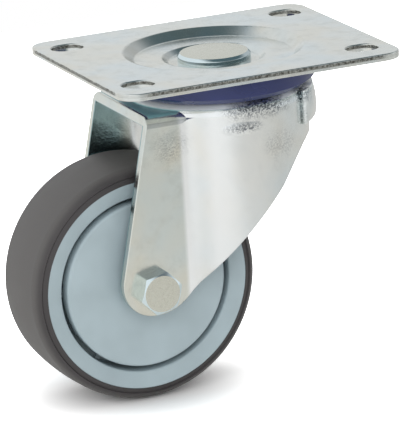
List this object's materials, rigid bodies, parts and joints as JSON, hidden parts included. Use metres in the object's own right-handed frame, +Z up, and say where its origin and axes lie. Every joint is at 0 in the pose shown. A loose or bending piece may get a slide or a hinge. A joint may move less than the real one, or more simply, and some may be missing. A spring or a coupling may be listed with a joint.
{
  "type": "swivel castor",
  "caption": "Swivel castor with a slotted top plate, pressed steel fork, ball-race swivel, dust seal and a soft-tread wheel on ball bearings.",
  "frame": {"origin": "centre of the top plate's upper face, on the swivel axis", "axes": "+Z up out of the top plate, X along the plate's long side, wheel trailing towards -X"},
  "size_m": [0.125, 0.085, 0.112],
  "materials": {
    "zinc_plate": "bright zinc plated",
    "zinc_fork": "bright zinc plated",
    "zinc_fastener": "zinc plated",
    "bearing_steel": "polished",
    "seal_plastic": "moulded",
    "wheel_plastic": "moulded",
    "cover_plastic": "moulded",
    "tread_rubber": "moulded, matt",
    "cage_plastic": "moulded"
  },
  "bodies": {
    "plate": {"top_plate": "zinc_plate", "king_pin": "zinc_fastener", "lower_race": "zinc_plate"},
    "fork": {"fork": "zinc_fork", "dust_seal": "seal_plastic", "axle_bolt": "zinc_fastener", "axle_nut": "zinc_fastener", "near_spacer": "zinc_fastener", "far_spacer": "zinc_fastener", "spacer_tube": "zinc_fastener", "near_inner_ring": "bearing_steel", "far_inner_ring": "bearing_steel"},
    "wheel": {"wheel_core": "wheel_plastic", "tread": "tread_rubber", "near_cover": "cover_plastic", "far_cover": "cover_plastic", "near_outer_ring": "bearing_steel", "far_outer_ring": "bearing_steel"},
    "upper_ball_ring": {"upper_swivel_balls": "bearing_steel"},
    "lower_ball_ring": {"lower_swivel_balls": "bearing_steel"},
    "near_ball_set": {"near_balls": "bearing_steel", "near_cage": "cage_plastic"},
    "far_ball_set": {"far_balls": "bearing_steel", "far_cage": "cage_plastic"}
  },
  "joints": [
    {"name": "swivel", "type": "hinge", "parent": "plate", "child": "fork", "pos_m": [0, 0, 0], "axis": [0, 0, 1], "continuous": true},
    {"name": "wheel_spin", "type": "hinge", "parent": "fork", "child": "wheel", "pos_m": [-0.035, 0, -0.072], "axis": [0, 1, 0], "continuous": true},
    {"name": "upper_ball_ring_spin", "type": "hinge", "parent": "plate", "child": "upper_ball_ring", "pos_m": [0, 0, -0.0085], "axis": [0, 0, 1], "continuous": true},
    {"name": "lower_ball_ring_spin", "type": "hinge", "parent": "plate", "child": "lower_ball_ring", "pos_m": [0, 0, -0.0173], "axis": [0, 0, 1], "continuous": true},
    {"name": "near_ball_set_spin", "type": "hinge", "parent": "fork", "child": "near_ball_set", "pos_m": [-0.035, -0.009, -0.072], "axis": [0, 1, 0], "continuous": true},
    {"name": "far_ball_set_spin", "type": "hinge", "parent": "fork", "child": "far_ball_set", "pos_m": [-0.035, 0.009, -0.072], "axis": [0, 1, 0], "continuous": true}
  ],
  "couplings": [
    {"joint": "upper_ball_ring_spin", "follows": "swivel", "ratio": 0.5},
    {"joint": "lower_ball_ring_spin", "follows": "swivel", "ratio": 0.5},
    {"joint": "near_ball_set_spin", "follows": "wheel_spin", "ratio": 0.63333},
    {"joint": "far_ball_set_spin", "follows": "wheel_spin", "ratio": 0.63333}
  ]
}
